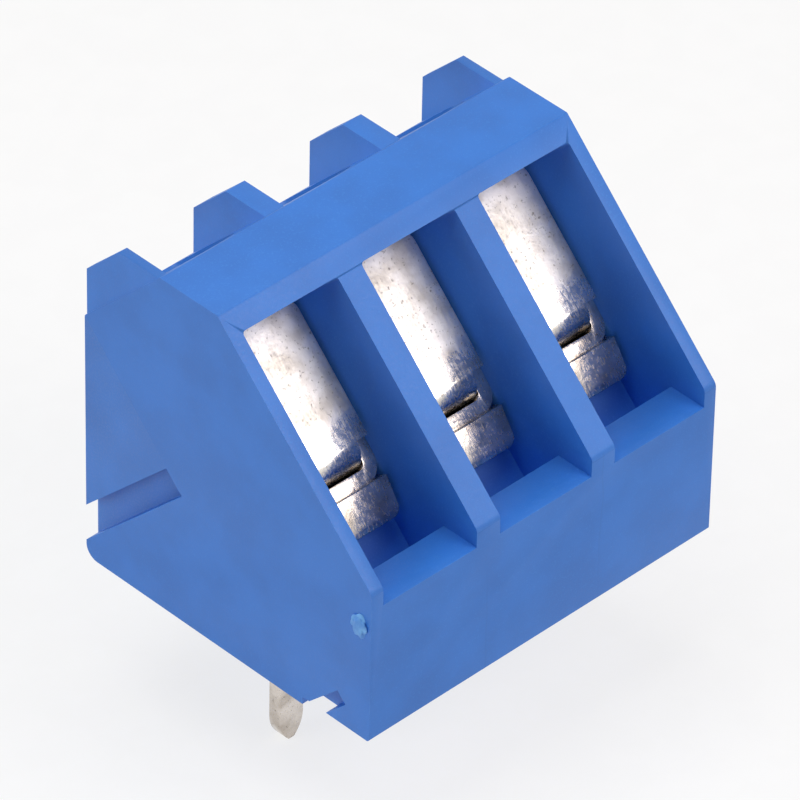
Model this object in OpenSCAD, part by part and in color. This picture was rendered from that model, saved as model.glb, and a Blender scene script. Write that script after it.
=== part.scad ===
// Three-pole solder-mount screw terminal with a 45 degree wire slope.
// Millimetres.  X runs along the row, the wire openings look towards -Y and up,
// the board plane is Z = 0 and the origin is the middle of the pin row on it.

/* [Row] */
// Number of poles side by side
poles = 3; // [1:1:8]
// Distance between neighbouring solder pins
pitch = 5; // [4.8:0.1:7.5]

/* [Housing outline] */
// Height of the flat top above the board
body_h = 13.05; // [12.4:0.01:16]
// Horizontal run of the 45 degree wire slope
slope_run = 6.85; // [6.5:0.01:8.3]
// Width of the flat strip along the top
top_w = 2.55; // [2:0.01:3.1]
// Plastic left between a screw hole and the edge of the back face
hole_wall = 0.3; // [0.15:0.01:1.5]
// Depth of the raised foot under the front edge
foot_depth = 2.95; // [2.7:0.01:3.6]
// How far that foot stays above the board
foot_lift = 0.3; // [0.1:0.01:0.5]
// Radius of the edge between front face and slope
slope_edge_r = 0.35; // [0.1:0.01:0.6]
// Radius of the small outline edges
edge_r = 0.12; // [0.05:0.01:0.2]
// Radius of the edge between back face and underside
heel_r = 0.5; // [0.2:0.01:0.8]

/* [Wire openings] */
// Width of one wire opening
window_w = 4; // [3.8:0.01:4.5]
// Strip left solid between the top edge and the opening, along the slope
window_drop = 0.8; // [0.6:0.01:1.2]
// Depth of the sill below the edge between front face and slope
sill_drop = 0.68; // [0.4:0.01:1.2]
// Depth of the sill from the front face
sill_depth = 1.45; // [1:0.01:1.75]
// Depth of the pit behind the sill, below the sill
pit_depth = 2.1; // [1.2:0.01:2.6]

/* [Fins] */
// How far the fins between the screws stand above the back slope
fin_rise = 1.25; // [0.6:0.01:1.6]
// How far the top of a fin stays below the flat top
fin_step = 0.18; // [0.05:0.01:0.4]
// Setback of a fin from the faces of its wall
fin_setback = 0.1; // [0.05:0.01:0.2]

/* [Joining grooves] */
// Depth of the grooves in the left end
groove_depth = 0.5; // [0.2:0.01:0.6]
// Width of the long groove
long_groove_w = 1; // [0.6:0.01:1.4]
// Length of the long groove along its 45 degree run
long_groove_l = 5.7; // [4:0.1:7]
// Height at which the long groove opens in the back face
long_groove_h = 1.35; // [1.2:0.01:2]
// Width of the short groove at the front foot
short_groove_w = 0.52; // [0.3:0.01:0.8]
// Length of the short groove along its 45 degree run
short_groove_l = 1.9; // [1.2:0.1:2.4]
// Plastic left between the short groove and the end of the foot
short_groove_inset = 0.37; // [0.37:0.01:0.8]
// Clearance all round between a rib and the groove that it enters
rib_gap = 0.05; // [0.02:0.01:0.1]

/* [Contact] */
// Thickness of the folded contact sheet
sheet_t = 0.5; // [0.4:0.01:0.6]
// Inner radius of every fold in the contact
fold_r = 0.25; // [0.1:0.01:0.35]
// Sheet left in front of and behind the threaded hole
bore_wall = 0.3; // [0.2:0.01:0.6]
// Gap between the screw and the cage's sides
side_gap = 0.1; // [0.07:0.01:0.2]
// Height of the clamp cage, along the screw
cage_h = 6.5; // [5.4:0.01:6.8]
// Distance of the cage's top below the housing's top edge, along the slope
cage_drop = 0.45; // [0.35:0.01:0.7]
// Width of the apron under the wire mouth
apron_w = 3.6; // [3:0.01:3.7]
// Length of the apron below the cage
apron_l = 1.35; // [0.8:0.01:1.7]
// Angle by which the apron leans back behind the slope's direction
apron_lean = 12; // [4:1:20]
// Radius of the apron's lower corners
apron_corner_r = 0.35; // [0.1:0.01:0.6]
// Distance of the leg's fold inside the back of the cage
leg_inset = 0.11; // [0:0.01:0.4]
// Width and depth of the relief cuts beside the leg's fold
relief = 0.25; // [0.15:0.01:0.4]
// Width of the leg's neck
neck_w = 2.2; // [1.4:0.01:2.65]
// Height of the neck's shoulders above the board
shoulder_h = 2.6; // [1.5:0.1:3.2]
// Width of the solder pin
pin_w = 1; // [0.6:0.01:1.3]
// Length of the solder pin below the board plane
pin_l = 4.8; // [3:0.1:6]
// Radius of the two arcs that draw the pin to its tip
pin_tip_r = 1.25; // [0.8:0.01:2]
// Slit between the overlapped folds at the top of the cage
seam = 0.05; // [0.03:0.01:0.08]

/* [Wire guard] */
// Thickness of the guard
guard_t = 0.3; // [0.2:0.01:0.36]
// Width of the guard's plate
guard_w = 3.5; // [2.9:0.01:3.6]
// Depth of the guard's face behind the slope
guard_setback = 2.4; // [2.2:0.01:2.8]
// Outer radius of the guard's fold
guard_fold_r = 0.8; // [0.5:0.01:1]
// Distance of the guard's top end below the housing's top edge
guard_drop = 0.7; // [0.5:0.01:0.78]
// Gap left between the closed guard and the cage floor
closed_gap = 0.13; // [0.08:0.01:0.3]

/* [Clamp screw] */
// Thread diameter
screw_d = 2.5; // [2:0.01:3]
// Head diameter
head_d = 3.6; // [3.2:0.01:3.9]
// Head height
head_h = 1.2; // [0.8:0.01:1.3]
// Gap between the head and the cage when closed
head_lift = 0.2; // [0.1:0.01:0.3]
// Width of the driver slot
slot_w = 0.6; // [0.4:0.01:0.8]
// Depth of the driver slot
slot_depth = 0.65; // [0.4:0.01:0.7]
// Turn of the driver slot from one pole to the next
slot_turn = 35; // [0:5:90]
// Diameter of the neck riveted into the guard
rivet_d = 1.3; // [1:0.01:1.6]
// Width of the rivet's spread rim
rivet_rim = 0.25; // [0.2:0.01:0.35]
// Travel of the screw from closed to fully open
travel = 2; // [1:0.1:2]

/* [Clearances] */
// Gap round a contact in its pocket
pocket_gap = 0.02; // [0.01:0.01:0.05]
// Gap round the leg and pin in their slots
pin_gap = 0.06; // [0.03:0.01:0.12]
// Gap between a guard and the cage or housing that it slides in
slide_gap = 0.06; // [0.04:0.01:0.1]
// Radial gap between a screw and the parts that it turns in
thread_gap = 0.05; // [0.03:0.01:0.08]
// Radial gap between a screw head and its hole in the housing
head_gap = 0.15; // [0.1:0.01:0.2]

/* [Hidden] */
$fn = 64;

blue = "#4a78c8";
tin = "#c9c5c4";
zinc = "#b9bcc0";

// How far a cut goes past a surface, so that it leaves no skin
over = 1;
// Added to a rounding's radius, so that the arc crosses its lines instead of touching them
hair = 0.00003;
root2 = sqrt(2);

// The row
row_w = poles * pitch;
wall = pitch - window_w;

// Sizes in the clamp's own directions.  A "drop" is measured down the slope from
// the housing's top edge, a "set" at right angles behind the slope.
bore_d = screw_d + 2 * thread_gap;
cage_w = screw_d + 2 * side_gap + 2 * sheet_t;
cage_depth = bore_d + 2 * bore_wall;
cage_set = guard_setback + guard_t + slide_gap;
cage_back = cage_set + cage_depth;
screw_set = cage_set + cage_depth / 2;
floor_drop = cage_drop + cage_h;
floor_mid_drop = floor_drop - sheet_t / 2;
mouth_drop = floor_drop - sheet_t;
fold_mid_r = fold_r + sheet_t / 2;
tapped_drop = cage_drop + 2 * sheet_t + seam;

// The closed guard stands on the gap over the cage floor
pad_drop = mouth_drop - closed_gap;
foot_w = cage_w - 2 * sheet_t - 2 * slide_gap;
slot_top_drop = guard_drop - travel - slide_gap;
slot_set = guard_setback - slide_gap;

// The screw ends in the guard's foot and its head stays above the cage
head_under_drop = cage_drop - head_lift;
head_top_drop = head_under_drop - head_h;
rivet_end_d = rivet_d + 2 * rivet_rim;
hole_d = head_d + 2 * head_gap;

// The back slope is as long as the screw hole needs
top_back_b = slope_run + top_w;
back_slope_drop = -top_w / root2;
back_run = (screw_set + hole_d / 2 + hole_wall + back_slope_drop) / root2;
body_depth = top_back_b + back_run;
front_h = body_h - slope_run;
back_h = body_h - back_run;
sill_h = front_h - sill_drop;

// The leg hangs below the fold in the cage floor
leg_set = cage_back - leg_inset;
pin_b = slope_run + (leg_set - floor_mid_drop) / root2;
leg_top_h = body_h - (leg_set + floor_mid_drop) / root2;
leg_trim = fold_mid_r * tan(45 / 2);

// Free ends of the contact's sheet, from their set and their height on the slope
apron_tip = [cage_set, -floor_mid_drop] + (apron_l + sheet_t / 2) * [sin(apron_lean), -cos(apron_lean)];
leg_tip = [leg_set, -floor_mid_drop] + (leg_top_h + pin_l + over) / root2 * [1, -1];

// A point of the section, from its distance behind the front face and its height
function at(b, h) = [b - pin_b, h];
// The same, from a drop along the slope and a set behind it
function on_slope(drop, set) = at(slope_run + (set - drop) / root2, body_h - (set + drop) / root2);
// The way back: the set behind the slope and the height on it
function behind_slope(b, h) = [b - slope_run + body_h - h, b - slope_run - body_h + h] / root2;
function pole_x(i) = (i - (poles + 1) / 2) * pitch;

function unit(v) = v / norm(v);
function across(v) = [-v[1], v[0]];
function turn(u, v) = atan2(u[0] * v[1] - u[1] * v[0], u * v);

// Puts children on a pole's wire slope: Y is the set behind it, Z runs up along it
module on_pole(i)
    translate([pole_x(i), slope_run - pin_b, body_h]) rotate([-45, 0, 0]) children();

// Extrudes a section drawn in Y and Z along X, centred on x
module along_x(width, x = 0)
    translate([x - width / 2, 0, 0]) rotate([90, 0, 90]) linear_extrude(width) children();

// Extrudes a front view drawn in X and Z from one depth to another
module through(from, to)
    translate([0, to, 0]) rotate([90, 0, 0]) linear_extrude(to - from) children();

// A counter-clockwise outline with a round at each corner that has a radius
module rounded(points, radii) {
    count = len(points);
    bend = [for (i = [0:count - 1]) turn(points[i] - points[(i + count - 1) % count],
        points[(i + 1) % count] - points[i])];
    difference() {
        polygon(points);
        for (i = [0:count - 1]) if (radii[i] > 0 && bend[i] > 0) corner(points, i, radii[i]);
    }
    for (i = [0:count - 1]) if (radii[i] > 0 && bend[i] < 0) corner(points, i, radii[i]);
}

// The patch between corner i of an outline and the arc that rounds it
module corner(points, i, r) {
    count = len(points);
    u = unit(points[(i + count - 1) % count] - points[i]);
    v = unit(points[(i + 1) % count] - points[i]);
    half = acos(u * v) / 2;
    reach = r / tan(half);
    centre = points[i] + unit(u + v) * r / sin(half);
    difference() {
        polygon([points[i] - unit(u + v) * r / 10, points[i] + u * reach, centre, points[i] + v * reach]);
        translate(centre) circle(r + hair);
    }
}

// Sheet of thickness t bent along a centreline, with folds of mean radius r
module folded_sheet(path, r, t) {
    last = len(path) - 1;
    normal = [for (i = [0:last - 1]) across(unit(path[i + 1] - path[i]))];
    mitre = [for (i = [0:last]) i == 0 ? normal[0] : i == last ? normal[last - 1]
        : (normal[i - 1] + normal[i]) / (1 + normal[i - 1] * normal[i])];
    side = [for (i = [0:last]) i == 0 || i == last ? 0 : sign(turn(normal[i - 1], normal[i]))];
    rounded(
        concat([for (i = [0:last]) path[i] - mitre[i] * t / 2],
            [for (i = [last:-1:0]) path[i] + mitre[i] * t / 2]),
        concat([for (i = [0:last]) side[i] == 0 ? 0 : r + side[i] * t / 2],
            [for (i = [last:-1:0]) side[i] == 0 ? 0 : r - side[i] * t / 2]));
}

// A bar lying at 45 degrees, rising towards the front from its foot
module slanted_bar(foot, length, width)
    translate(foot) rotate(135) translate([-over, -width / 2]) square([length + over, width]);

// Section of both joining bars; clear is taken off every free side
module joining_bars(clear = 0) {
    slanted_bar(at(body_depth, long_groove_h), long_groove_l - clear, long_groove_w - 2 * clear);
    slanted_bar(at(foot_depth - short_groove_inset, 0), short_groove_l - clear,
        short_groove_w - 2 * clear);
}

// Section of the whole housing
module body_section() rounded(
    [at(0, foot_lift), at(foot_depth, foot_lift), at(foot_depth, 0), at(body_depth, 0),
        at(body_depth, back_h), at(top_back_b, body_h), at(slope_run, body_h), at(0, front_h)],
    [edge_r, 0, 0, heel_r, edge_r, edge_r, edge_r, slope_edge_r]);

// Housing: one moulding with its fins, openings and joining grooves
module housing() color(blue) {
    rib = groove_depth - rib_gap;
    difference() {
        union() {
            along_x(row_w) body_section();
            for (i = [0:poles]) fin(i);
        }
        for (i = [1:poles]) {
            wire_opening(i);
            clamp_pocket(i);
            leg_slot(i);
        }
        along_x(2 * groove_depth, -row_w / 2) joining_bars();
    }
    // Ribs of the right end, which enter a neighbour's grooves
    along_x(2 * rib, row_w / 2) intersection() {
        body_section();
        joining_bars(rib_gap);
    }
}

// Fin i on the back slope, over the wall between two poles or at the row's end
module fin(i) {
    middle = (i - poles / 2) * pitch;
    left = i == 0 ? fin_setback : (fin_setback - wall) / 2;
    right = i == poles ? -fin_setback : (wall - fin_setback) / 2;
    shift = i == 0 || i == poles ? 0 : fin_setback / 2;
    top_h = body_h - fin_step;
    corner_h = back_h + fin_rise * root2;
    along_x(right - left - 2 * shift, middle + (left + right) / 2) polygon([
        at(top_back_b, back_h - fin_step), at(body_depth, back_h - fin_step), at(body_depth, corner_h),
        at(body_depth - (top_h - corner_h), top_h), at(top_back_b + fin_step, top_h),
        at(top_back_b, top_h - fin_step)]);
}

// The window in the slope, its sill and the pit behind the sill
module wire_opening(i) {
    pit_h = sill_h - pit_depth;
    pit_set = cage_set + 2 * fold_mid_r;
    on_pole(i) along_x(window_w) polygon([[-over, -window_drop], behind_slope(-over, sill_h),
        behind_slope(sill_depth, sill_h), behind_slope(sill_depth, pit_h),
        [pit_set, pit_set - root2 * (body_h - pit_h)], [pit_set, -floor_drop],
        [cage_set, -floor_drop], [cage_set, -window_drop]]);
}

// The pocket of the cage, the slot for the guard above it and the screw hole
module clamp_pocket(i) {
    pocket_w = cage_w + 2 * pocket_gap;
    guard_slot_w = guard_w + 2 * slide_gap;
    on_pole(i) {
        translate([-pocket_w / 2, slot_set, -floor_drop])
            cube([pocket_w, cage_back + pocket_gap - slot_set, cage_h]);
        translate([-guard_slot_w / 2, slot_set, -floor_drop])
            cube([guard_slot_w, cage_set - slot_set, floor_drop - slot_top_drop]);
        translate([0, screw_set, -cage_drop])
            cylinder(d = hole_d, h = cage_drop - back_slope_drop + over);
    }
}

// The slot for the contact's leg: wide above the shoulders, then narrow for the pin
module leg_slot(i) {
    t = sheet_t + 2 * pin_gap;
    start = on_slope(floor_mid_drop, leg_set - fold_mid_r);
    for (part = [[neck_w, shoulder_h - pin_gap], [pin_w, -over]])
        along_x(part[0] + 2 * pin_gap, pole_x(i))
            folded_sheet([start, [0, leg_top_h], [0, part[1]]], fold_mid_r, t);
}

// Contact: a cage folded round the wire space, its apron and its solder leg
module contact(i) color(tin) {
    on_pole(i) {
        difference() {
            through(cage_set, cage_back) cage_section();
            translate([0, screw_set, -tapped_drop - fold_r]) cylinder(d = bore_d, h = tapped_drop + over);
            translate([-neck_w / 2 - relief, leg_set - leg_trim - relief, -floor_drop - over])
                cube([neck_w + 2 * relief, cage_depth, sheet_t + over]);
        }
        intersection() {
            along_x(apron_w) folded_sheet([apron_tip, [cage_set, -floor_mid_drop],
                [cage_set + sheet_t, -floor_mid_drop]], fold_mid_r, sheet_t);
            through(0, cage_back) apron_outline();
        }
    }
    intersection() {
        on_pole(i) along_x(neck_w) folded_sheet([[screw_set, -floor_mid_drop],
            [leg_set, -floor_mid_drop], leg_tip], fold_mid_r, sheet_t);
        translate([pole_x(i), 0, 0]) through(-cage_depth, cage_depth) leg_outline();
    }
}

// The cage's sheet seen along the wire: it starts under its own end, runs round the
// wire space and closes on top, where both layers are tapped for the screw
module cage_section() {
    side = (cage_w - sheet_t) / 2;
    top = -cage_drop - sheet_t / 2;
    under = top - sheet_t - seam;
    folded_sheet([[fold_mid_r - side, under], [side, under], [side, -floor_mid_drop],
        [-side, -floor_mid_drop], [-side, top], [cage_w / 2, top]], fold_mid_r, sheet_t);
}

// Front view of the apron, with round lower corners
module apron_outline()
    rounded([[-cage_w / 2, apron_tip[1]], [cage_w / 2, apron_tip[1]], [cage_w / 2, 0],
        [-cage_w / 2, 0]], [apron_corner_r, apron_corner_r, 0, 0]);

// Front view of the leg: room for the whole neck, then the pin with its drawn tip
module leg_outline() {
    rise = sqrt(pow(pin_tip_r, 2) - pow(pin_tip_r - pin_w / 2, 2)) - sheet_t / 5;
    translate([-neck_w / 2 - over, shoulder_h]) square([neck_w + 2 * over, body_h]);
    translate([-pin_w / 2, rise - pin_l]) square([pin_w, pin_l + shoulder_h]);
    intersection() {
        translate([-pin_w / 2, -pin_l]) square([pin_w, 2 * rise]);
        translate([pin_tip_r - pin_w / 2, rise - pin_l]) circle(pin_tip_r);
        translate([pin_w / 2 - pin_tip_r, rise - pin_l]) circle(pin_tip_r);
    }
}

// Wire guard: plate in front of the cage, folded to a foot under the screw
module wire_guard(i) color(tin) on_pole(i) difference() {
    intersection() {
        along_x(guard_w) folded_sheet([[guard_setback + guard_t / 2, -guard_drop],
            [guard_setback + guard_t / 2, guard_t / 2 - pad_drop],
            [cage_back, guard_t / 2 - pad_drop]], guard_fold_r - guard_t / 2, guard_t);
        through(0, cage_back + over) guard_outline();
    }
    translate([0, screw_set, -pad_drop]) {
        cylinder(d = rivet_d + 2 * thread_gap, h = 2 * guard_t);
        translate([0, 0, -over]) cylinder(d = rivet_end_d + 2 * thread_gap, h = over + guard_t / 2);
    }
}

// Front view of the guard: a wide plate above a narrow foot
module guard_outline() {
    shoulder = guard_fold_r - pad_drop;
    rounded([[-guard_w / 2, shoulder], [guard_w / 2, shoulder], [guard_w / 2, -guard_drop],
        [-guard_w / 2, -guard_drop]], [edge_r, edge_r, edge_r, edge_r]);
    translate([-foot_w / 2, -pad_drop - over]) square([foot_w, guard_fold_r + 2 * over]);
}

// Clamp screw: slotted head, shank and the end riveted into the guard
module clamp_screw(i) color(zinc) on_pole(i) translate([0, screw_set, 0]) difference() {
    end = slide_gap / 3 - pad_drop;
    rotate_extrude() polygon([
        [0, end], [rivet_end_d / 2, end], [rivet_end_d / 2, end + guard_t / 2 - thread_gap],
        [rivet_d / 2, end + guard_t / 2 - thread_gap], [rivet_d / 2, end + guard_t],
        [screw_d / 2 - edge_r, end + guard_t], [screw_d / 2, end + guard_t + edge_r],
        [screw_d / 2, -head_under_drop], [head_d / 2, -head_under_drop],
        [head_d / 2, -head_top_drop - 2 * edge_r], [head_d / 2 - 2 * edge_r, -head_top_drop],
        [0, -head_top_drop]]);
    rotate(slot_turn * i) translate([-slot_w / 2, -head_d, -head_top_drop - slot_depth])
        cube([slot_w, 2 * head_d, head_h]);
}

housing();
for (i = [1:poles]) {
    contact(i);
    wire_guard(i);
    clamp_screw(i);
}
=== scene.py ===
"""Looks of a three-pole solder-mount screw terminal with a 45 degree wire slope."""

import logging
import math
from dataclasses import dataclass, field
from enum import Enum

import bmesh
import bpy
from mathutils import Matrix, Vector, noise


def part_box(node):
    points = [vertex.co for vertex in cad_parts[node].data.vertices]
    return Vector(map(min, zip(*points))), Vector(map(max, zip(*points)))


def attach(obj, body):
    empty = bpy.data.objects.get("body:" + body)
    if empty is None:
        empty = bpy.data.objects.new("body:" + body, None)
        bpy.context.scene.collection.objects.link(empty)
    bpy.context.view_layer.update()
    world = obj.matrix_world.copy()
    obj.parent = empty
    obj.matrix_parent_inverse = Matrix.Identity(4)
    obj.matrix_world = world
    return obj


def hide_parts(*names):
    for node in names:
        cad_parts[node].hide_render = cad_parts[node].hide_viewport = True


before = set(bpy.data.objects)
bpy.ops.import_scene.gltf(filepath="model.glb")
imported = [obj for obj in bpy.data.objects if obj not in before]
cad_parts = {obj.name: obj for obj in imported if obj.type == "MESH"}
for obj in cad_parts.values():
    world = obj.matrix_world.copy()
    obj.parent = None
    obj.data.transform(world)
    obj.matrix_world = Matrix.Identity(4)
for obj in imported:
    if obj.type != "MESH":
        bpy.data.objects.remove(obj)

LOG = logging.getLogger("screw_terminal")
MM = 0.001
POLES = (1, 2, 3)
SLOPE_RUN_MM = 6.85
SLOPE_DEGREES = 45
SAME_MM = 0.0003
MIX_COLOURS_IN = (6, 7)
MIX_COLOUR_OUT = 2


class Slot(Enum):
    """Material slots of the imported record."""

    NYLON = "blue_nylon"
    BRASS = "tinned_brass"
    LEAF = "tinned_leaf"
    STEEL = "zinc_steel"


class Rounded(Enum):
    """What a rounding works on."""

    EDGES = "EDGES"
    CORNERS = "VERTICES"


def linear(code: str) -> tuple[float, float, float, float]:
    """Turns an sRGB hex colour to linear RGBA.

    Args:
        code: Colour as "#rrggbb".

    Returns:
        The four linear values, with an alpha of 1.
    """
    parts = [int(code[i : i + 2], 16) / 255 for i in (1, 3, 5)]
    turned = [p / 12.92 if p <= 0.04045 else ((p + 0.055) / 1.055) ** 2.4 for p in parts]
    return (*turned, 1.0)


def per_mm(size_mm: float) -> float:
    """Returns the texture scale whose features are about size_mm across, on metre coordinates."""
    return 1 / (size_mm * MM)


def add(
    tree: bpy.types.NodeTree,
    kind: str,
    links: dict[str | int, bpy.types.NodeSocket] | None = None,
    values: dict[str | int, object] | None = None,
    **settings: object,
) -> bpy.types.Node:
    """Adds a node with its settings, socket values and incoming links.

    Args:
        tree: Node tree to add to.
        kind: Blender's type name of the node.
        links: Input names or numbers with the output socket that feeds each.
        values: Input names or numbers with the value set on each.
        **settings: Attributes set on the node itself.

    Returns:
        The new node.
    """
    made = tree.nodes.new(kind)
    for name, value in settings.items():
        setattr(made, name, value)
    for key, value in (values or {}).items():
        made.inputs[key].default_value = value
    for key, socket in (links or {}).items():
        tree.links.new(socket, made.inputs[key])
    return made


@dataclass(frozen=True)
class Finish:
    """A surface finish. Its material is made once and shared by the pieces that have it."""

    name: str

    def material(self) -> bpy.types.Material:
        """Returns this finish's material, and makes it the first time."""
        known = bpy.data.materials.get(self.name)
        if known:
            return known
        made = bpy.data.materials.new(self.name)
        made.use_nodes = True
        tree = made.node_tree
        tree.nodes.clear()
        surface = self.surface(tree)
        add(tree, "ShaderNodeOutputMaterial", {"Surface": surface})
        return made

    def surface(self, tree: bpy.types.NodeTree) -> bpy.types.NodeSocket:
        """Builds the finish's nodes.

        Args:
            tree: The material's node tree.

        Returns:
            The shader socket that the material shows.
        """
        raise NotImplementedError

    @staticmethod
    def place(tree: bpy.types.NodeTree) -> bpy.types.NodeSocket:
        """Returns the Object coordinates, in metres."""
        return add(tree, "ShaderNodeTexCoord").outputs["Object"]

    @staticmethod
    def grain(
        tree: bpy.types.NodeTree,
        where: bpy.types.NodeSocket,
        size_mm: float,
        stretch: tuple[float, float, float] = (1.0, 1.0, 1.0),
        turn: tuple[float, float, float] = (0.0, 0.0, 0.0),
        detail: float = 4.0,
    ) -> bpy.types.NodeSocket:
        """Draws noise of a real size.

        Args:
            tree: The material's node tree.
            where: Coordinates in metres.
            size_mm: Size of one feature.
            stretch: Factors on the three coordinates, below 1 to lengthen a feature.
            turn: Turn of the coordinates in radians, before they are stretched.
            detail: Number of finer layers.

        Returns:
            The noise value, 0 to 1.
        """
        turned = add(tree, "ShaderNodeMapping", {"Vector": where}, {"Rotation": turn})
        mapped = add(tree, "ShaderNodeMapping", {"Vector": turned.outputs[0]}, {"Scale": stretch})
        made = add(
            tree,
            "ShaderNodeTexNoise",
            {"Vector": mapped.outputs[0]},
            {"Scale": per_mm(size_mm), "Detail": detail},
        )
        return made.outputs[0]

    @staticmethod
    def spread(
        tree: bpy.types.NodeTree,
        value: bpy.types.NodeSocket,
        low: float,
        high: float,
        to_low: float = 0.0,
        to_high: float = 1.0,
    ) -> bpy.types.NodeSocket:
        """Maps a stretch of one value smoothly to another.

        Args:
            tree: The material's node tree.
            value: The value.
            low: Start of its stretch.
            high: End of its stretch.
            to_low: Result at the start.
            to_high: Result at the end.

        Returns:
            The mapped value.
        """
        ranged = {"From Min": low, "From Max": high, "To Min": to_low, "To Max": to_high}
        made = add(
            tree, "ShaderNodeMapRange", {"Value": value}, ranged, interpolation_type="SMOOTHSTEP"
        )
        return made.outputs[0]

    @staticmethod
    def sum_of(
        tree: bpy.types.NodeTree,
        one: bpy.types.NodeSocket,
        other: bpy.types.NodeSocket,
        operation: str = "ADD",
    ) -> bpy.types.NodeSocket:
        """Joins two values with one Math operation.

        Args:
            tree: The material's node tree.
            one: First value.
            other: Second value.
            operation: Blender's name of the operation.

        Returns:
            The result.
        """
        made = add(tree, "ShaderNodeMath", {0: one, 1: other}, operation=operation)
        return made.outputs[0]

    @staticmethod
    def blend(
        tree: bpy.types.NodeTree,
        share: bpy.types.NodeSocket,
        one: bpy.types.NodeSocket | str,
        other: bpy.types.NodeSocket | str,
    ) -> bpy.types.NodeSocket:
        """Mixes two colours.

        Args:
            tree: The material's node tree.
            share: How much of the second shows, 0 to 1.
            one: First colour, a socket or an sRGB code.
            other: Second colour, a socket or an sRGB code.

        Returns:
            The mixed colour.
        """
        links, values = {"Factor": share}, {}
        for number, colour in zip(MIX_COLOURS_IN, (one, other)):
            if isinstance(colour, str):
                values[number] = linear(colour)
            else:
                links[number] = colour
        made = add(tree, "ShaderNodeMix", links, values, data_type="RGBA")
        return made.outputs[MIX_COLOUR_OUT]


@dataclass(frozen=True)
class MouldedNylon(Finish):
    """Glass-filled nylon, injection moulded in a spark-eroded tool.

    It gives the eye a satin blue skin with a soft haze in place of reflections, slow clouds where
    the glass lies another way, a painted highlight in patches along the edges, and faint weld
    lines on the front.
    """

    body: str = "#2f78d4"
    deep: str = "#2c70c8"
    pale: str = "#6db0f0"
    # The tool's real grain is about 0.02 mm. It is drawn coarser, so that it shows.
    grain_mm: float = 0.07
    cloud_mm: float = 2.2
    weld_x_mm: tuple[float, float] = (-2.5, 2.5)

    def weld_lines(
        self, tree: bpy.types.NodeTree, where: bpy.types.NodeSocket, front_mm: float
    ) -> bpy.types.NodeSocket:
        """Draws the faint lines where two melt fronts met on the front face.

        Args:
            tree: The material's node tree.
            where: Coordinates in metres.
            front_mm: Depth coordinate of the front face.

        Returns:
            Strength of the lines, 0 to 1.
        """
        wander = self.grain(tree, where, 1.6)
        split = add(tree, "ShaderNodeSeparateXYZ", {0: where})
        moved = add(
            tree,
            "ShaderNodeMath",
            {0: wander},
            {1: 0.35 * MM, 2: -0.175 * MM},
            operation="MULTIPLY_ADD",
        )
        across = self.sum_of(tree, split.outputs["X"], moved.outputs[0])
        lines = None
        for x in self.weld_x_mm:
            off = add(tree, "ShaderNodeMath", {0: across}, {1: x * MM}, operation="SUBTRACT")
            size = add(tree, "ShaderNodeMath", {0: off.outputs[0]}, operation="ABSOLUTE")
            line = self.spread(tree, size.outputs[0], 0.015 * MM, 0.05 * MM, 1.0, 0.0)
            lines = line if lines is None else self.sum_of(tree, lines, line, "MAXIMUM")
        near = self.spread(
            tree, split.outputs["Y"], (front_mm + 0.02) * MM, (front_mm + 0.05) * MM, 1.0, 0.0
        )
        return self.sum_of(tree, lines, near, "MULTIPLY")

    def surface(self, tree: bpy.types.NodeTree) -> bpy.types.NodeSocket:
        """Builds a satin blue skin with spark-eroded grain, flow clouds and painted edge
        highlights.

        Args:
            tree: The material's node tree.

        Returns:
            The shader socket.
        """
        where = self.place(tree)
        clouds = self.grain(tree, where, self.cloud_mm, detail=3.0)
        fine = self.grain(tree, where, self.grain_mm, detail=2.0)
        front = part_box("housing")[0].y / MM
        welds = self.weld_lines(tree, where, front)
        # Painted highlight: faces marked in the edge attribute (eased rims 1, gate stub 1.5) turn
        # paler blue, broken into patches by noise, standing in for light along the edges; on the
        # torn gate stub the paler blue is its own colour.
        rim_sheen_and_gate = add(tree, "ShaderNodeAttribute", attribute_name="edge").outputs["Fac"]
        sheen_patches = self.spread(tree, self.grain(tree, where, 0.6), 0.35, 0.65, 0.25, 0.9)
        sheen_on_rims = self.sum_of(tree, rim_sheen_and_gate, sheen_patches, "MULTIPLY")
        skin = self.blend(tree, self.spread(tree, clouds, 0.3, 0.7), self.body, self.deep)
        grains = self.spread(tree, fine, 0.5, 0.75, 0.0, 0.14)
        speckled = self.blend(tree, grains, skin, self.pale)
        sheened = self.blend(tree, sheen_on_rims, speckled, self.pale)
        lined = self.blend(tree, self.spread(tree, welds, 0.0, 1.0, 0.0, 0.5), sheened, self.deep)
        rough = self.spread(tree, fine, 0.3, 0.7, 0.42, 0.56)
        bump = add(
            tree,
            "ShaderNodeBump",
            {"Height": fine},
            {"Strength": 0.35, "Distance": 0.006 * MM},
        )
        shader = add(
            tree,
            "ShaderNodeBsdfPrincipled",
            {"Base Color": lined, "Roughness": rough, "Normal": bump.outputs[0]},
            {"IOR": 1.53, "Specular IOR Level": 0.5},
        )
        return shader.outputs[0]


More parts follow.
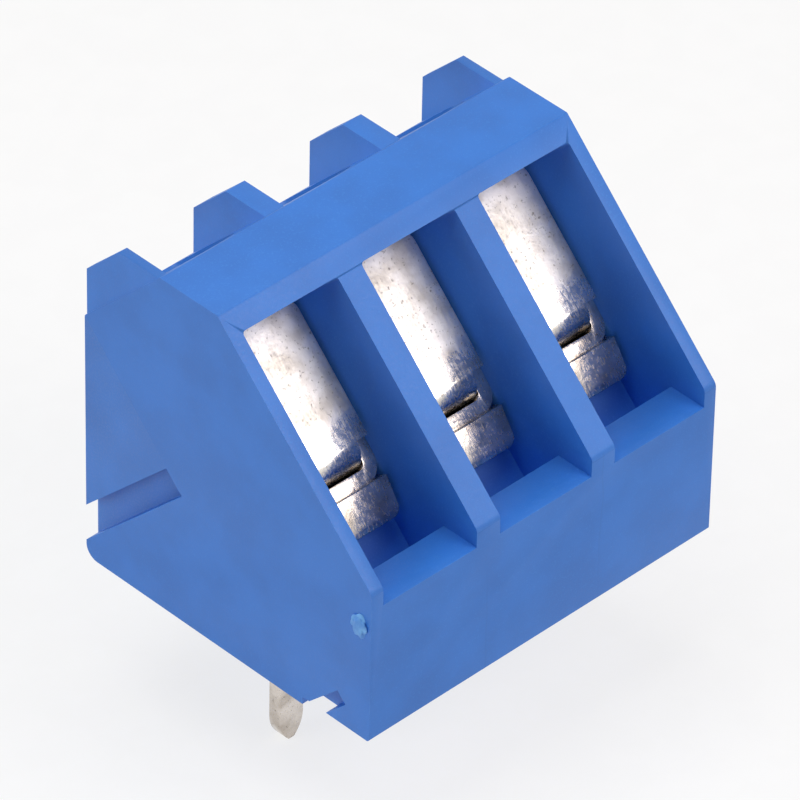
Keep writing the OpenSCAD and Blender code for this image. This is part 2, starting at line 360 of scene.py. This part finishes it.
@dataclass(frozen=True)
class BrightTin(Finish):
    """Tin or zinc, barrel plated on pressed strip and turned steel.

    It gives the eye a slightly cloudy mirror: rolling lines along the strip, the orange peel of
    the plating, small grey pores, and satin where the strip was scuffed.
    """

    metal: str = "#ece8e2"
    shade: str = "#c9c2b8"
    fleck: str = "#6d645c"
    # The plating's real grain is about 0.01 mm. It is drawn coarser, so that it shows.
    fleck_mm: float = 0.12
    roll_mm: float = 0.05
    smooth: float = 0.16
    rough: float = 0.34
    bump_mm: float = 0.006
    matt_above_mm: float | None = None
    matt: float = 0.24

    def surface(self, tree: bpy.types.NodeTree) -> bpy.types.NodeSocket:
        """Builds a bright plated skin with rolling lines, orange peel and grey flecks.

        Args:
            tree: The material's node tree.

        Returns:
            The shader socket.
        """
        where = self.place(tree)
        tilt = (math.radians(SLOPE_DEGREES), 0.0, 0.0)
        rolled = self.grain(tree, where, self.roll_mm, (1.0, 1.0, 0.08), tilt, 3.0)
        peel = self.grain(tree, where, self.fleck_mm, detail=5.0)
        stain = self.grain(tree, where, 0.9, detail=4.0)
        tone = self.blend(tree, self.spread(tree, stain, 0.35, 0.7), self.metal, self.shade)
        flecked = self.blend(tree, self.spread(tree, peel, 0.6, 0.72, 0.0, 0.6), tone, self.fleck)
        mixed = self.sum_of(tree, peel, rolled, "MULTIPLY")
        rough = self.spread(tree, mixed, 0.1, 0.42, self.smooth, self.rough)
        if self.matt_above_mm is not None:
            turned = add(tree, "ShaderNodeMapping", {"Vector": where}, {"Rotation": tilt})
            height = add(tree, "ShaderNodeSeparateXYZ", {0: turned.outputs[0]}).outputs["Z"]
            low, high = (self.matt_above_mm - 0.5) * MM, (self.matt_above_mm + 0.5) * MM
            added = self.spread(tree, height, low, high, 0.0, self.matt)
            rough = self.sum_of(tree, rough, added)
        first = add(
            tree,
            "ShaderNodeBump",
            {"Height": peel},
            {"Strength": 0.6, "Distance": self.bump_mm * MM},
        )
        second = add(
            tree,
            "ShaderNodeBump",
            {"Height": rolled, "Normal": first.outputs[0]},
            {"Strength": 0.3, "Distance": self.bump_mm * MM / 2},
        )
        shader = add(
            tree,
            "ShaderNodeBsdfPrincipled",
            {"Base Color": flecked, "Roughness": rough, "Normal": second.outputs[0]},
            {"Metallic": 1.0},
        )
        return shader.outputs[0]


@dataclass(frozen=True)
class StudioPaper(Finish):
    """Uncoated white background paper.

    It gives the eye an even matt white, with the soft shadow of the block on it.
    """

    white: str = "#fbfbfb"
    lift: float = 0.75

    def surface(self, tree: bpy.types.NodeTree) -> bpy.types.NodeSocket:
        """Builds white paper that the eye and the metals see nearly shadeless.

        Args:
            tree: The material's node tree.

        Returns:
            The shader socket.
        """
        where = self.place(tree)
        fibre = self.grain(tree, where, 1.5)
        tone = self.blend(tree, self.spread(tree, fibre, 0.4, 0.6), self.white, "#f7f7f7")
        paper = add(
            tree, "ShaderNodeBsdfPrincipled", {"Base Color": tone}, {"Roughness": 0.9}
        )
        glow = add(tree, "ShaderNodeEmission", {}, {"Color": (1, 1, 1, 1), "Strength": 1.0})
        path = add(tree, "ShaderNodeLightPath")
        seen = self.sum_of(tree, path.outputs["Is Camera Ray"], path.outputs["Is Glossy Ray"])
        seen = self.sum_of(tree, seen, path.outputs["Is Transmission Ray"])
        share = self.spread(tree, seen, 0.0, 1.0, 0.0, self.lift)
        mixed = add(
            tree, "ShaderNodeMixShader", {0: share, 1: paper.outputs[0], 2: glow.outputs[0]}
        )
        return mixed.outputs[0]


@dataclass(frozen=True)
class Slope:
    """Directions of the 45 degree wire slope and its top edge on the housing."""

    top_y: float
    top_z: float

    def place(self, pole_x: float) -> Matrix:
        """Puts a piece drawn on a pole's slope in the row's frame.

        Args:
            pole_x: Middle of the pole, in metres.

        Returns:
            The matrix: local Y is the set behind the slope, local Z runs up along it.
        """
        turn = Matrix.Rotation(math.radians(-SLOPE_DEGREES), 4, "X")
        return Matrix.Translation((pole_x, self.top_y, self.top_z)) @ turn


def pole_x(pole: int) -> float:
    """Returns the middle of a pole, from its guard's box."""
    low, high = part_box(f"wire_guard_{pole}")
    return (low.x + high.x) / 2


def from_cad(name: str) -> bmesh.types.BMesh:
    """Copies a CAD node's mesh, merges it and joins its flat triangles.

    Args:
        name: Name of the node.

    Returns:
        The merged copy.
    """
    bm = bmesh.new()
    bm.from_mesh(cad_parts[name].data)
    bmesh.ops.remove_doubles(bm, verts=bm.verts, dist=SAME_MM * MM)
    bmesh.ops.dissolve_degenerate(bm, edges=bm.edges, dist=SAME_MM * MM)
    bmesh.ops.dissolve_limit(
        bm, angle_limit=math.radians(0.6), verts=bm.verts, edges=bm.edges, delimit=set()
    )
    return bm


def sharp_edges(bm: bmesh.types.BMesh, degrees: float) -> list[bmesh.types.BMEdge]:
    """Lists the edges at which the surface turns by more than an angle.

    Args:
        bm: The mesh.
        degrees: Least turn.

    Returns:
        The edges between two faces that turn more than that.
    """
    least = math.radians(degrees)
    return [e for e in bm.edges if len(e.link_faces) == 2 and e.calc_face_angle(0) > least]


def ease(
    bm: bmesh.types.BMesh,
    width_mm: float,
    degrees: float = 30,
    segments: int = 2,
    parts: list[bmesh.types.BMEdge] | list[bmesh.types.BMVert] | None = None,
    affect: Rounded = Rounded.EDGES,
) -> list[bmesh.types.BMFace]:
    """Rounds the sharp edges a little, as a tool or a wheel leaves them.

    Args:
        bm: The mesh.
        width_mm: Width of the rounding on each side.
        degrees: Least turn of an edge that is rounded.
        segments: Number of strips in the rounding.
        parts: The edges or corners to round, where not all sharp edges are.
        affect: Which of the two they are.

    Returns:
        The new faces.
    """
    made = bmesh.ops.bevel(
        bm,
        geom=sharp_edges(bm, degrees) if parts is None else parts,
        offset=width_mm * MM,
        offset_type="OFFSET",
        segments=segments,
        profile=0.5,
        affect=affect.value,
        clamp_overlap=True,
        material=-1,
    )
    return made["faces"]


def carve(body: bmesh.types.BMesh, tool: bmesh.types.BMesh) -> bmesh.types.BMesh:
    """Cuts one closed mesh out of another.

    Args:
        body: What is cut. It is freed.
        tool: What it is cut with. It is freed.

    Returns:
        The cut mesh.
    """
    pair = []
    for name, bm in (("cut_body", body), ("cut_tool", tool)):
        mesh = bpy.data.meshes.new(name)
        bm.to_mesh(mesh)
        bm.free()
        pair.append(bpy.data.objects.new(name, mesh))
        bpy.context.scene.collection.objects.link(pair[-1])
    cut = pair[0].modifiers.new("cut", "BOOLEAN")
    cut.object, cut.operation, cut.solver = pair[1], "DIFFERENCE", "EXACT"
    graph = bpy.context.evaluated_depsgraph_get()
    done = bmesh.new()
    done.from_mesh(pair[0].evaluated_get(graph).data)
    for one in pair:
        mesh = one.data
        bpy.data.objects.remove(one)
        bpy.data.meshes.remove(mesh)
    bmesh.ops.remove_doubles(done, verts=done.verts, dist=SAME_MM * MM)
    return done


def join(bm: bmesh.types.BMesh, other: bmesh.types.BMesh) -> None:
    """Adds another mesh to a mesh.

    Args:
        bm: The mesh that grows.
        other: The mesh that is added. It is freed.
    """
    mesh = bpy.data.meshes.new("joined")
    other.to_mesh(mesh)
    other.free()
    bm.from_mesh(mesh)
    bpy.data.meshes.remove(mesh)


def chain(bm: bmesh.types.BMesh, points: list[tuple[float, float, float]]) -> list:
    """Draws a line from point to point by extruding its end.

    Args:
        bm: The mesh.
        points: Corners of the line in millimetres.

    Returns:
        The new vertices and edges.
    """
    last = bmesh.ops.create_vert(bm, co=Vector(points[0]) * MM)["vert"][0]
    geom: list = [last]
    for before, after in zip(points, points[1:]):
        grown = bmesh.ops.extrude_vert_indiv(bm, verts=[last])
        last = grown["verts"][0]
        bmesh.ops.translate(bm, verts=[last], vec=(Vector(after) - Vector(before)) * MM)
        geom += [grown["edges"][0], last]
    return geom


def revolve(
    bm: bmesh.types.BMesh, points: list[tuple[float, float]], steps: int = 64
) -> list[bmesh.types.BMVert]:
    """Turns a half section round the Z axis.

    Args:
        bm: The mesh.
        points: Radius and height of each corner, in millimetres.
        steps: Number of strips in the full turn.

    Returns:
        The vertices of the turned shape.
    """
    known = set(bm.verts)
    geom = chain(bm, [(r, 0.0, z) for r, z in points])
    bmesh.ops.spin(
        bm,
        geom=geom,
        cent=(0, 0, 0),
        axis=(0, 0, 1),
        dvec=(0, 0, 0),
        angle=math.tau,
        steps=steps,
        use_merge=True,
        use_duplicate=False,
    )
    made = [v for v in bm.verts if v not in known]
    bmesh.ops.remove_doubles(bm, verts=made, dist=0.001 * MM)
    made = [v for v in bm.verts if v not in known]
    faces = {f for v in made for f in v.link_faces}
    bmesh.ops.recalc_face_normals(bm, faces=list(faces))
    return made


def piece(
    bm: bmesh.types.BMesh,
    name: str,
    finish: Finish,
    body: str,
    stands_for: str,
    smooth_below: float = 35,
) -> bpy.types.Object:
    """Makes the finished object from a mesh and gives it its finish and its body.

    Args:
        bm: The mesh, in its place in the row's frame. It is freed.
        name: Name of the piece.
        finish: Its finish.
        body: The CAD body that it rides on.
        stands_for: The CAD node that it replaces.
        smooth_below: Edges that turn less than this, in degrees, shade smooth.

    Returns:
        The object.
    """
    mesh = bpy.data.meshes.new(name)
    bm.to_mesh(mesh)
    bm.free()
    mesh.polygons.foreach_set("use_smooth", [True] * len(mesh.polygons))
    mesh.set_sharp_from_angle(angle=math.radians(smooth_below))
    mesh.materials.append(finish.material())
    made = bpy.data.objects.new(name, mesh)
    bpy.context.scene.collection.objects.link(made)
    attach(made, body)
    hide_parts(stands_for)
    LOG.info("%s: %d faces on %s", name, len(mesh.polygons), body)
    return made


@dataclass
class Housing:
    """The one-piece moulded housing with the torn gate on its left end."""

    slope: Slope
    rim_mm: float = 0.09
    skin_mm: float = 0.2
    window_half_mm: float = 2.0
    window_drop_mm: float = 0.8
    window_r_mm: float = 0.25
    gate_at_mm: tuple[float, float] = (0.5, 4.74)
    gate_size_mm: tuple[float, float] = (0.32, 0.44)
    gate_rise_mm: float = 0.13
    finish: Finish = field(default_factory=lambda: MouldedNylon("moulded_glass_filled_nylon"))

    def __post_init__(self) -> None:
        """Looks up the housing's box, the slope's frame and the middles of the poles."""
        self.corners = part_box("housing")
        self.back = self.slope.place(0.0).inverted()
        self.middles = [pole_x(pole) / MM for pole in POLES]

    def outside(self, point: Vector) -> bool:
        """Tells whether a point lies on the housing's outside and not in an opening.

        Args:
            point: The point, in metres.

        Returns:
            True within a skin's depth of the ends, the front, the top, the slope or the base.
        """
        low, high = self.corners
        skin = self.skin_mm * MM
        local = self.back @ point
        ends = abs(point.x - low.x) < skin or point.x > -low.x - skin
        flats = point.y < low.y + skin or point.z > high.z - skin or point.z < low.z + 2 * skin
        return ends or flats or local.y < skin or point.y > high.y - skin

    def round_windows(self, bm: bmesh.types.BMesh) -> None:
        """Rounds the upper corners of the wire openings, as the tool's core is.

        Args:
            bm: The housing's mesh.
        """
        corners = []
        for edge in bm.edges:
            one, other = (self.back @ v.co / MM for v in edge.verts)
            level = max(abs(p.z + self.window_drop_mm) for p in (one, other)) < 0.01
            along = abs(one.x - other.x) < 0.01 and abs(one.y - other.y) > 1.0
            beside = any(abs(abs(one.x - x) - self.window_half_mm) < 0.01 for x in self.middles)
            if level and along and beside:
                corners.append(edge)
        ease(bm, self.window_r_mm, segments=4, parts=corners)

    def gate(self, bm: bmesh.types.BMesh) -> list[bmesh.types.BMFace]:
        """Adds the torn stub that the moulding was fed through.

        Args:
            bm: The housing's mesh.

        Returns:
            The stub's faces.
        """
        low = self.corners[0]
        made = bmesh.ops.create_icosphere(bm, subdivisions=4, radius=1.0)["verts"]
        size = Vector((self.gate_rise_mm, self.gate_size_mm[0], self.gate_size_mm[1])) * MM
        for vert in made:
            rough = noise.noise(vert.co * 1.7) * 0.3 + noise.noise(vert.co * 5.0) * 0.1
            vert.co *= 1 + rough
        bmesh.ops.scale(bm, verts=made, vec=size)
        centre = Vector((low.x, low.y + self.gate_at_mm[0] * MM, self.gate_at_mm[1] * MM))
        bmesh.ops.translate(bm, verts=made, vec=centre)
        return list({f for v in made for f in v.link_faces})

    def build(self) -> bpy.types.Object:
        """Builds the housing with eased edges.

        Returns:
            The finished piece.
        """
        bm = from_cad("housing")
        sheen_and_gate_mark = bm.faces.layers.float.new("edge")
        self.round_windows(bm)
        rims = [
            e
            for e in sharp_edges(bm, 35)
            if e.calc_length() > 0.4 * MM and all(self.outside(v.co) for v in e.verts)
        ]
        # Painted highlight: the eased rims get 1 in the edge layer, which the nylon turns paler
        # blue along the edges; the torn gate stub gets 1.5 and shows paler as its own colour.
        for face in ease(bm, self.rim_mm, segments=3, parts=rims):
            face[sheen_and_gate_mark] = 1.0
        for face in self.gate(bm):
            face[sheen_and_gate_mark] = 1.5
        return piece(bm, "housing_moulding", self.finish, "base", "housing")


@dataclass
class Contact:
    """A contact folded from strip: the cage, its apron and its solder leg."""

    pole: int
    slope: Slope
    face_set_mm: float = 2.76
    cut_set_mm: float = 3.4
    floor_mm: float = -6.95
    sheet_mm: float = 0.5
    apron_w_mm: float = 3.6
    apron_l_mm: float = 1.36
    apron_tip_set_mm: float = 2.85
    apron_lean: float = 12
    apron_corner_mm: float = 0.35
    edge_mm: float = 0.03
    finish: Finish = field(
        default_factory=lambda: BrightTin(
            "tin_plated_brass_strip", metal="#e2d9cf", shade="#b9aea2", smooth=0.14, rough=0.3
        )
    )

    def front(self, bm: bmesh.types.BMesh) -> None:
        """Shears the cage's strip off square in front, so that its cut edge shows.

        Args:
            bm: The contact's mesh in the slope's frame.
        """
        bmesh.ops.bisect_plane(
            bm,
            geom=bm.verts[:] + bm.edges[:] + bm.faces[:],
            plane_co=(0, self.cut_set_mm * MM, 0),
            plane_no=(0, -1, 0),
            clear_outer=True,
        )
        rim = [e for e in bm.edges if e.is_boundary]
        grown = bmesh.ops.extrude_edge_only(bm, edges=rim)["geom"]
        verts = [g for g in grown if isinstance(g, bmesh.types.BMVert)]
        reach = (self.face_set_mm - self.cut_set_mm) * MM
        bmesh.ops.translate(bm, verts=verts, vec=(0, reach, 0))
        bmesh.ops.holes_fill(bm, edges=[e for e in bm.edges if e.is_boundary], sides=0)
        bmesh.ops.recalc_face_normals(bm, faces=bm.faces)

    def apron(self) -> bmesh.types.BMesh:
        """Makes the apron that hangs under the cage and guides the wire in.

        Returns:
            The apron in the slope's frame.
        """
        bm = bmesh.new()
        bmesh.ops.create_cube(bm, size=1.0)
        size = Vector((self.apron_w_mm, self.sheet_mm, self.apron_l_mm)) * MM
        bmesh.ops.scale(bm, verts=bm.verts, vec=size)
        shift = Vector((0, self.sheet_mm / 2, self.apron_l_mm / 2)) * MM
        bmesh.ops.translate(bm, verts=bm.verts, vec=shift)
        feet = [e for e in bm.edges if all(abs(v.co.z) < 0.001 * MM for v in e.verts)]
        feet = [e for e in feet if abs(e.verts[0].co.x - e.verts[1].co.x) < 0.001 * MM]
        ease(bm, self.apron_corner_mm, segments=8, parts=feet)
        turn = Matrix.Rotation(math.radians(self.apron_lean), 4, "X")
        height = self.floor_mm - math.cos(math.radians(self.apron_lean)) * self.apron_l_mm + 0.02
        place = Matrix.Translation(Vector((0, self.apron_tip_set_mm, height)) * MM)
        bmesh.ops.transform(bm, matrix=place @ turn, verts=bm.verts)
        ease(bm, 0.05, segments=3)
        return bm

    def build(self) -> bpy.types.Object:
        """Builds the contact with the eased edges of a stamping.

        Returns:
            The finished piece.
        """
        there = self.slope.place(pole_x(self.pole))
        bm = from_cad(f"contact_{self.pole}")
        bmesh.ops.transform(bm, matrix=there.inverted(), verts=bm.verts)
        self.front(bm)
        ease(bm, self.edge_mm, degrees=40)
        join(bm, self.apron())
        bmesh.ops.transform(bm, matrix=there, verts=bm.verts)
        name = f"contact_stamping_{self.pole}"
        return piece(bm, name, self.finish, "base", f"contact_{self.pole}")


@dataclass
class WireGuard:
    """A wire guard: a plate in front of the cage, folded to a foot under the screw."""

    pole: int
    slope: Slope
    thick_mm: float = 0.3
    plate_w_mm: float = 3.58
    foot_w_mm: float = 2.58
    face_set_mm: float = 2.4
    top_mm: float = -0.7
    under_mm: float = -6.39
    fold_r_mm: float = 0.8
    foot_end_mm: float = 5.96
    screw_set_mm: float = 4.36
    bore_d_mm: float = 1.4
    rim_bore_d_mm: float = 1.9
    corner_mm: float = 0.45
    finish: Finish = field(
        default_factory=lambda: BrightTin("bright_tin_plated_steel_leaf", matt_above_mm=5.0)
    )

    def sheet(self) -> bmesh.types.BMesh:
        """Forms the outer face of the strip: plate, fold and foot.

        Returns:
            The open sheet, in the slope's frame.
        """
        bm = bmesh.new()
        half, foot = self.plate_w_mm / 2, self.foot_w_mm / 2
        fold_top = self.under_mm + self.fold_r_mm
        row = [(x, self.face_set_mm, self.top_mm) for x in (-half, -foot, foot, half)]
        edges = [g for g in chain(bm, row) if isinstance(g, bmesh.types.BMEdge)]
        grown = bmesh.ops.extrude_edge_only(bm, edges=edges)["geom"]
        verts = [g for g in grown if isinstance(g, bmesh.types.BMVert)]
        bmesh.ops.translate(bm, verts=verts, vec=(0, 0, (fold_top - self.top_mm) * MM))
        middle = [
            e
            for e in bm.edges
            if all(abs(v.co.x) < (foot + 0.01) * MM and v in verts for v in e.verts)
        ]
        turned = bmesh.ops.spin(
            bm,
            geom=middle + list(middle[0].verts),
            cent=Vector((0, self.face_set_mm + self.fold_r_mm, fold_top)) * MM,
            axis=(1, 0, 0),
            dvec=(0, 0, 0),
            angle=math.pi / 2,
            steps=14,
            use_duplicate=False,
        )["geom_last"]
        last = [g for g in turned if isinstance(g, bmesh.types.BMEdge)]
        grown = bmesh.ops.extrude_edge_only(bm, edges=last)["geom"]
        verts = [g for g in grown if isinstance(g, bmesh.types.BMVert)]
        reach = self.foot_end_mm - self.face_set_mm - self.fold_r_mm
        bmesh.ops.translate(bm, verts=verts, vec=(0, reach * MM, 0))
        bmesh.ops.remove_doubles(bm, verts=bm.verts, dist=0.001 * MM)
        return bm

    def build(self) -> bpy.types.Object:
        """Builds the guard and puts it in front of its cage.

        Returns:
            The finished piece.
        """
        bm = self.sheet()
        bmesh.ops.recalc_face_normals(bm, faces=bm.faces)
        plate = max(bm.faces, key=lambda f: f.calc_area())
        if plate.normal.y > 0:
            bmesh.ops.reverse_faces(bm, faces=bm.faces)
        wide, high = (self.plate_w_mm / 2 - 0.01) * MM, (self.top_mm - 0.01) * MM
        corners = [v for v in bm.verts if abs(v.co.x) > wide and v.co.z > high]
        ease(bm, self.corner_mm, segments=5, parts=corners, affect=Rounded.CORNERS)
        bmesh.ops.solidify(bm, geom=bm.faces, thickness=self.thick_mm * MM)
        tool = bmesh.new()
        under = self.under_mm
        revolve(
            tool,
            [
                (0, under - 0.5),
                (self.rim_bore_d_mm / 2, under - 0.5),
                (self.rim_bore_d_mm / 2, under + self.thick_mm / 2),
                (self.bore_d_mm / 2, under + self.thick_mm / 2),
                (self.bore_d_mm / 2, under + 0.8),
                (0, under + 0.8),
            ],
            48,
        )
        bmesh.ops.translate(tool, verts=tool.verts, vec=(0, self.screw_set_mm * MM, 0))
        bm = carve(bm, tool)
        ease(bm, 0.03)
        bmesh.ops.transform(bm, matrix=self.slope.place(pole_x(self.pole)), verts=bm.verts)
        name = f"wire_guard_leaf_{self.pole}"
        body, node = f"guard_{self.pole}", f"wire_guard_{self.pole}"
        return piece(bm, name, self.finish, body, node)


@dataclass
class ClampScrew:
    """A clamp screw: slotted cheese head, rolled thread and riveted end."""

    pole: int
    slope: Slope
    set_mm: float = 4.36
    end_mm: float = -6.3
    rim_r_mm: float = 0.9
    rim_h_mm: float = 0.1
    neck_r_mm: float = 0.65
    shank_mm: float = -6.0
    crest_r_mm: float = 1.25
    root_r_mm: float = 0.98
    pitch_mm: float = 0.45
    head_under_mm: float = -0.25
    head_top_mm: float = 0.95
    head_r_mm: float = 1.8
    slot_w_mm: float = 0.6
    slot_d_mm: float = 0.65
    slot_turn: float = 35
    finish: Finish = field(
        default_factory=lambda: BrightTin(
            "zinc_plated_steel_screw",
            metal="#cfd3d8",
            shade="#a9adb4",
            fleck="#70706e",
            smooth=0.24,
            rough=0.42,
        )
    )

    def thread(self, bm: bmesh.types.BMesh) -> None:
        """Rolls the thread between the neck and the head.

        Args:
            bm: The screw's mesh.
        """
        bottom, top = self.shank_mm, self.head_under_mm + 0.02
        turns = math.ceil((top - bottom) / self.pitch_mm) + 2
        steps = 40
        start = bottom - self.pitch_mm * 1.5
        p = self.pitch_mm
        section = [
            (self.root_r_mm, 0),
            (self.root_r_mm, 0.12 * p),
            (self.crest_r_mm, 0.46 * p),
            (self.crest_r_mm, 0.66 * p),
            (self.root_r_mm, p),
        ]
        coil = bmesh.new()
        geom = chain(coil, [(r, 0.0, start + z) for r, z in section])
        bmesh.ops.spin(
            coil,
            geom=geom,
            cent=(0, 0, 0),
            axis=(0, 0, 1),
            dvec=(0, 0, p * MM / steps),
            angle=math.tau * turns,
            steps=steps * turns,
            use_duplicate=False,
        )
        bmesh.ops.remove_doubles(coil, verts=coil.verts, dist=0.002 * MM)
        for height, side in ((bottom, -1), (top, 1)):
            bmesh.ops.bisect_plane(
                coil,
                geom=coil.verts[:] + coil.edges[:] + coil.faces[:],
                plane_co=(0, 0, height * MM),
                plane_no=(0, 0, side),
                clear_outer=True,
            )
        rims = [e for e in coil.edges if e.is_boundary]
        bmesh.ops.holes_fill(coil, edges=rims, sides=0)
        bmesh.ops.recalc_face_normals(coil, faces=coil.faces)
        join(bm, coil)

    def head(self) -> bmesh.types.BMesh:
        """Turns the head and mills its slot.

        Returns:
            The head with eased edges.
        """
        bm = bmesh.new()
        r, low, high = self.head_r_mm, self.head_under_mm, self.head_top_mm
        revolve(
            bm,
            [
                (0, low),
                (r - 0.08, low),
                (r, low + 0.08),
                (r, high - 0.24),
                (r - 0.07, high - 0.08),
                (r - 0.24, high),
                (0, high),
            ],
        )
        tool = bmesh.new()
        bmesh.ops.create_cube(tool, size=1.0)
        size = Vector((self.slot_w_mm, 3 * r, 2 * self.slot_d_mm)) * MM
        bmesh.ops.scale(tool, verts=tool.verts, vec=size)
        turn = Matrix.Rotation(math.radians(self.slot_turn * self.pole), 3, "Z")
        bmesh.ops.rotate(tool, verts=tool.verts, cent=(0, 0, 0), matrix=turn)
        bmesh.ops.translate(tool, verts=tool.verts, vec=(0, 0, high * MM))
        bm = carve(bm, tool)
        ease(bm, 0.025, degrees=50)
        return bm

    def build(self) -> bpy.types.Object:
        """Builds the screw and puts it in its cage.

        Returns:
            The finished piece.
        """
        bm = self.head()
        self.thread(bm)
        revolve(
            bm,
            [
                (0, self.end_mm),
                (self.rim_r_mm - 0.04, self.end_mm),
                (self.rim_r_mm, self.end_mm + 0.04),
                (self.rim_r_mm, self.end_mm + self.rim_h_mm),
                (self.neck_r_mm, self.end_mm + self.rim_h_mm),
                (self.neck_r_mm, self.shank_mm + 0.02),
                (0, self.shank_mm + 0.02),
            ],
        )
        there = self.slope.place(pole_x(self.pole)) @ Matrix.Translation((0, self.set_mm * MM, 0))
        bmesh.ops.transform(bm, matrix=there, verts=bm.verts)
        name = f"clamp_screw_turned_{self.pole}"
        body, node = f"screw_{self.pole}", f"clamp_screw_{self.pole}"
        return piece(bm, name, self.finish, body, node)


@dataclass(frozen=True)
class Softbox:
    """One soft lamp that looks at the middle of the block."""

    name: str
    towards: tuple[float, float, float]
    distance_mm: float
    size_mm: float
    power: float
    colour: str = "#ffffff"

    def build(self, aim: Vector) -> None:
        """Makes the lamp.

        Args:
            aim: The point that it looks at.
        """
        data = bpy.data.lights.new(self.name, "AREA")
        data.shape = "DISK"
        data.size = self.size_mm * MM
        data.energy = self.power
        data.color = linear(self.colour)[:3]
        lamp = bpy.data.objects.new(self.name, data)
        out = Vector(self.towards).normalized()
        lamp.location = aim + out * self.distance_mm * MM
        lamp.rotation_euler = out.to_track_quat("Z", "Y").to_euler()
        bpy.context.scene.collection.objects.link(lamp)


@dataclass
class Studio:
    """Floor, world, lamps and camera."""

    floor_half_mm: float = 600.0
    ambient: float = 0.22
    white: str = "#ffffff"
    lens_mm: float = 386.7
    azimuth: float = -45.07
    elevation: float = 38.76
    roll: float = 1.25
    distance_mm: float = 268.06
    aim_mm: tuple[float, float, float] = (0.2, 0.251, 6.35)
    shift: tuple[float, float] = (-0.0049, -0.0187)
    lamps: tuple[Softbox, ...] = (
        Softbox("front_softbox", (0.35, -0.7, 0.62), 160, 95, 0.105, "#fff4ef"),
        Softbox("left_softbox", (-0.85, 0.3, 0.42), 180, 120, 0.08),
        Softbox("top_softbox", (-0.1, 0.15, 1.0), 200, 160, 0.2),
    )
    paper: Finish = field(default_factory=lambda: StudioPaper("matt_white_paper"))

    def floor(self) -> None:
        """Lays the paper that the solder pins stand on."""
        bm = bmesh.new()
        bmesh.ops.create_grid(bm, x_segments=1, y_segments=1, size=self.floor_half_mm * MM)
        lowest = min(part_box(name)[0].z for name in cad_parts)
        bmesh.ops.translate(bm, verts=bm.verts, vec=(0, 0, lowest))
        mesh = bpy.data.meshes.new("floor")
        bm.to_mesh(mesh)
        bm.free()
        mesh.materials.append(self.paper.material())
        floor = bpy.data.objects.new("floor", mesh)
        bpy.context.scene.collection.objects.link(floor)

    def world(self) -> None:
        """Surrounds the block with soft light, and shows white to the eye and the metals."""
        world = bpy.data.worlds.new("studio")
        bpy.context.scene.world = world
        world.use_nodes = True
        tree = world.node_tree
        tree.nodes.clear()
        soft, white = (
            add(
                tree,
                "ShaderNodeBackground",
                {},
                {"Color": linear(self.white), "Strength": strength},
            )
            for strength in (self.ambient, 1.0)
        )
        path = add(tree, "ShaderNodeLightPath")
        seen = add(
            tree,
            "ShaderNodeMath",
            {0: path.outputs["Is Camera Ray"], 1: path.outputs["Is Glossy Ray"]},
            operation="MAXIMUM",
        )
        seen = add(
            tree,
            "ShaderNodeMath",
            {0: seen.outputs[0], 1: path.outputs["Is Transmission Ray"]},
            operation="MAXIMUM",
        )
        mixed = add(
            tree,
            "ShaderNodeMixShader",
            {0: seen.outputs[0], 1: soft.outputs[0], 2: white.outputs[0]},
        )
        add(tree, "ShaderNodeOutputWorld", {"Surface": mixed.outputs[0]})

    def camera(self) -> None:
        """Sets the camera up, looking down at the left front corner."""
        data = bpy.data.cameras.new("camera")
        data.lens = self.lens_mm
        data.sensor_width = 36.0
        data.shift_x, data.shift_y = self.shift
        data.clip_start, data.clip_end = 0.01, 10.0
        a, e, r = (math.radians(v) for v in (self.azimuth, self.elevation, self.roll))
        back = Vector((math.sin(a) * math.cos(e), -math.cos(a) * math.cos(e), math.sin(e)))
        right = Vector((0, 0, 1)).cross(back).normalized()
        up = back.cross(right)
        side = right * math.cos(r) + up * math.sin(r)
        top = up * math.cos(r) - right * math.sin(r)
        turn = Matrix((side, top, back)).transposed().to_4x4()
        place = Vector(self.aim_mm) * MM + back * self.distance_mm * MM
        camera = bpy.data.objects.new("camera", data)
        camera.matrix_world = Matrix.Translation(place) @ turn
        bpy.context.scene.collection.objects.link(camera)
        bpy.context.scene.camera = camera

    def build(self) -> None:
        """Builds the whole studio."""
        self.floor()
        self.world()
        low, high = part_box("housing")
        for lamp in self.lamps:
            lamp.build((low + high) / 2)
        self.camera()
        bpy.context.scene.view_settings.view_transform = "Standard"
        LOG.info("studio: %d lamps", len(self.lamps))


def main() -> None:
    """Builds every piece, then the studio."""
    logging.basicConfig(level=logging.INFO, format="%(message)s")
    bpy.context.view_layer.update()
    low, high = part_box("housing")
    slope = Slope(low.y + SLOPE_RUN_MM * MM, high.z)
    Housing(slope).build()
    for pole in POLES:
        Contact(pole, slope).build()
        WireGuard(pole, slope).build()
        ClampScrew(pole, slope).build()
    Studio().build()


if __name__ == "__main__":
    main()
